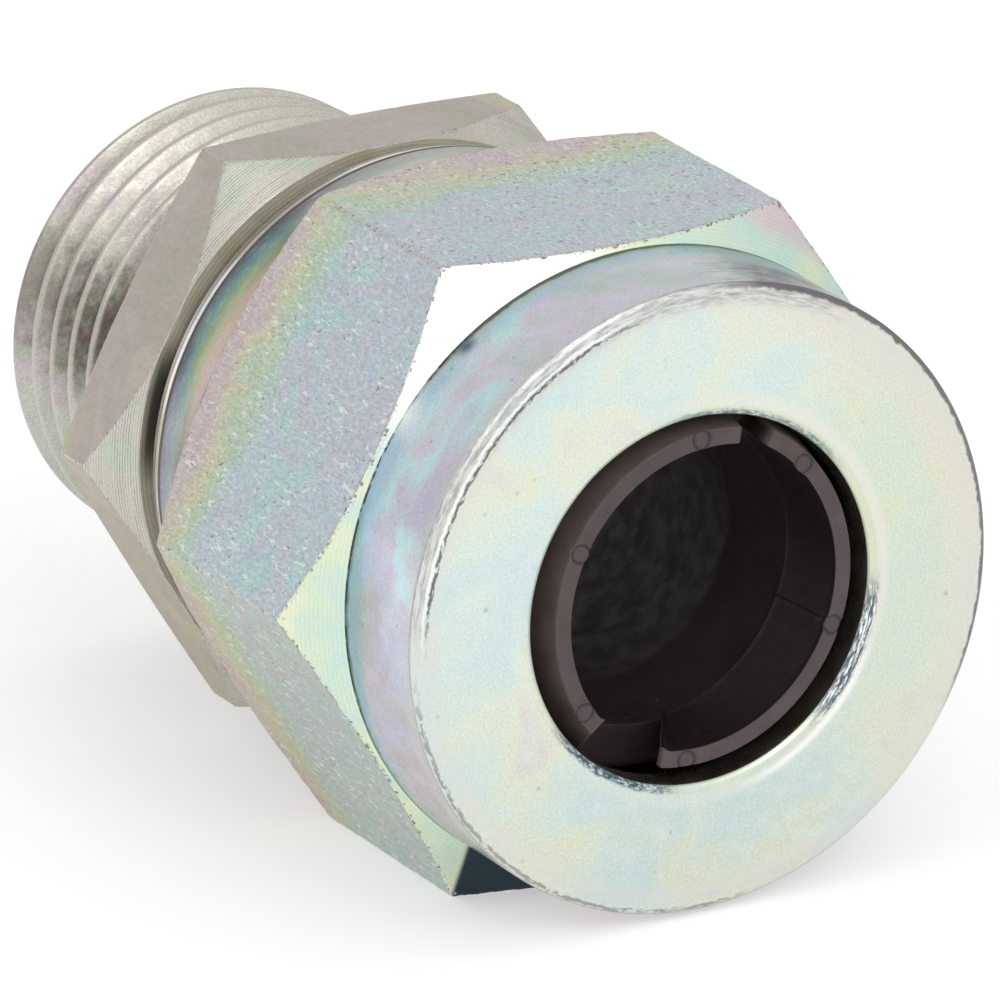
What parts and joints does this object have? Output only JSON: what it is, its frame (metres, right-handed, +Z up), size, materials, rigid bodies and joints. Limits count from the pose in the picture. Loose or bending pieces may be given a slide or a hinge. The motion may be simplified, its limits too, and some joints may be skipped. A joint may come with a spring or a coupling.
{
  "type": "strain relief cord fitting",
  "caption": "Straight steel cord fitting: tapered hub thread, hexagon body, gland nut, split grip ring and rubber bushing that seals round a cord.",
  "frame": {"origin": "under the fitting's middle, on the surface it lies on (lowest flat of the gland nut)", "axes": "+Y along the fitting's axis from the nose of the gland nut to the hub thread, +Z up, square to the nut's top flat"},
  "size_m": [0.033, 0.0432, 0.0286],
  "materials": {
    "body_zinc": "zinc plated, satin",
    "nut_zinc": "zinc plated, iridescent clear chromate",
    "ring_plastic": "moulded, satin",
    "bushing_rubber": "moulded, matte"
  },
  "bodies": {
    "fitting": {"fitting_body": "body_zinc"},
    "cord_grip": {"grip_ring": "ring_plastic", "sealing_bushing": "bushing_rubber"},
    "nut": {"gland_nut": "nut_zinc"}
  },
  "joints": [
    {"name": "nut_travel", "type": "slide", "parent": "fitting", "child": "cord_grip", "axis": [0, 1, 0], "range_m": [-0.00988, 0.001]},
    {"name": "nut_turn", "type": "hinge", "parent": "cord_grip", "child": "nut", "pos_m": [0, -0.0087, 0.01429], "axis": [0, 1, 0], "range_deg": [-2526, 258]}
  ],
  "couplings": [
    {"joint": "nut_turn", "follows": "nut_travel", "rad_per_m": 4452.7}
  ]
}
